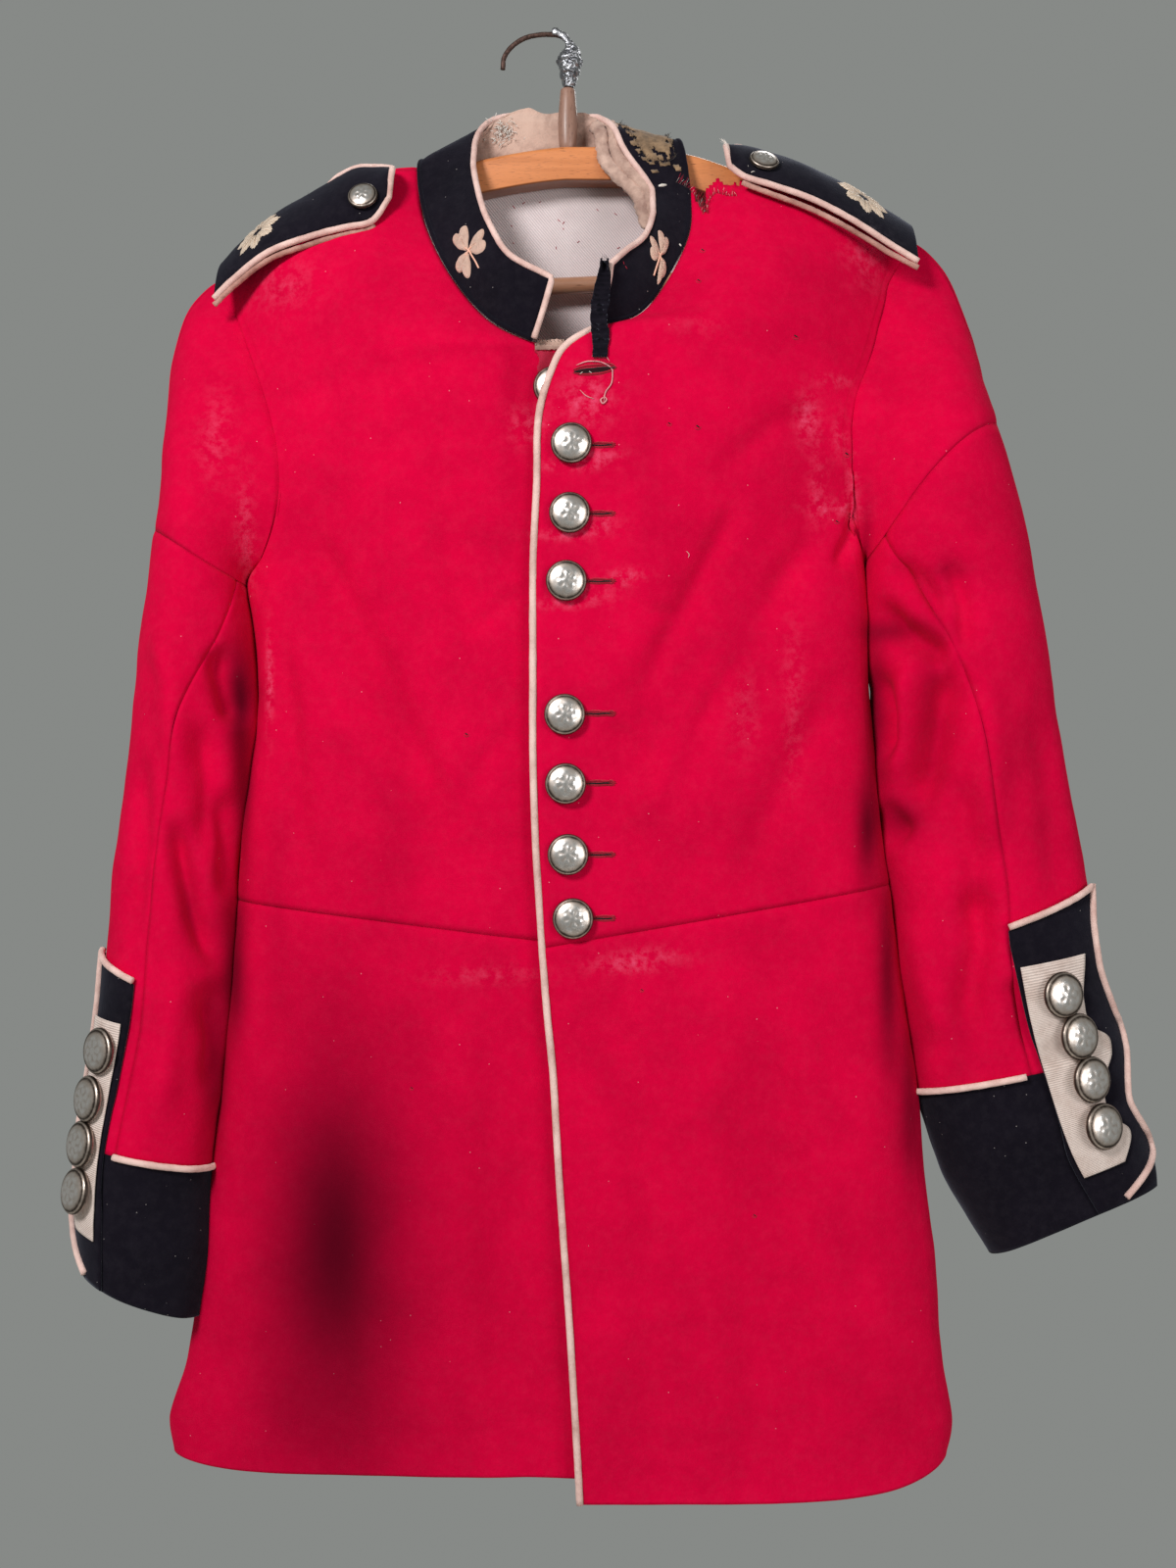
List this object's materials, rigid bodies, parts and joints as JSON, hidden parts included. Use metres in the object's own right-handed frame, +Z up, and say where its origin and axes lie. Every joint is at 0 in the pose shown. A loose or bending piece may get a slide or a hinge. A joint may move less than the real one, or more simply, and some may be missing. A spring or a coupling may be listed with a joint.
{
  "type": "military tunic on a coat hanger",
  "caption": "Scarlet military tunic with dark stand collar, shoulder straps and scalloped cuffs, piped in cream, hung on a wooden hanger.",
  "frame": {"origin": "inner top of the hanger's hook, where a rail or nail carries it", "axes": "+X towards the wearer's left, +Z up, the front faces -Y"},
  "size_m": [0.694, 0.1074, 0.9283],
  "materials": {
    "scarlet_cloth": "milled scarlet wool with a short worn nap",
    "black_cloth": "blue-black facing cloth with lint",
    "cream_piping": "aged cream wool piping",
    "cream_lining": "stained cream collar lining",
    "white_twill": "white cotton twill lining",
    "white_facing": "ribbed off-white slash cloth",
    "button_silver": "polished silvery stamped metal",
    "embroidery": "raised pale satin stitch",
    "beech": "varnished beech",
    "turned_wood": "brown stained wood",
    "rusty_wire": "rusty brown steel wire",
    "binding_foil": "crumpled foil and wire"
  },
  "bodies": {
    "root": {"front_left": "scarlet_cloth", "back_left": "scarlet_cloth", "skirt_front_left": "scarlet_cloth", "sleeve_head_left": "scarlet_cloth", "sleeve_top_left": "scarlet_cloth", "sleeve_under_left": "scarlet_cloth", "collar_left": "black_cloth", "cuff_left": "black_cloth", "slash_left": "black_cloth", "strap_left": "black_cloth", "collar_piping_left": "cream_piping", "cuff_piping_left": "cream_piping", "slash_piping_left": "cream_piping", "strap_piping_left": "cream_piping", "slash_face_left": "white_facing", "leaf_left": "embroidery", "star_left": "embroidery", "strap_button_left": "button_silver", "cuff_button_left_1": "button_silver", "cuff_button_left_2": "button_silver", "cuff_button_left_3": "button_silver", "cuff_button_left_4": "button_silver", "front_right": "scarlet_cloth", "back_right": "scarlet_cloth", "skirt_front_right": "scarlet_cloth", "sleeve_head_right": "scarlet_cloth", "sleeve_top_right": "scarlet_cloth", "sleeve_under_right": "scarlet_cloth", "collar_right": "black_cloth", "cuff_right": "black_cloth", "slash_right": "black_cloth", "strap_right": "black_cloth", "collar_piping_right": "cream_piping", "cuff_piping_right": "cream_piping", "slash_piping_right": "cream_piping", "strap_piping_right": "cream_piping", "slash_face_right": "white_facing", "leaf_right": "embroidery", "star_right": "embroidery", "strap_button_right": "button_silver", "cuff_button_right_1": "button_silver", "cuff_button_right_2": "button_silver", "cuff_button_right_3": "button_silver", "cuff_button_right_4": "button_silver", "skirt_back": "scarlet_cloth", "front_piping": "cream_piping", "collar_lining": "cream_lining", "back_lining": "white_twill", "front_button_1": "button_silver", "front_button_2": "button_silver", "front_button_3": "button_silver", "front_button_4": "button_silver", "front_button_5": "button_silver", "front_button_6": "button_silver", "front_button_7": "button_silver", "front_button_8": "button_silver", "hanger_board": "beech", "hanger_neck": "turned_wood", "hanger_hook": "rusty_wire", "hanger_binding": "binding_foil"}
  },
  "joints": []
}
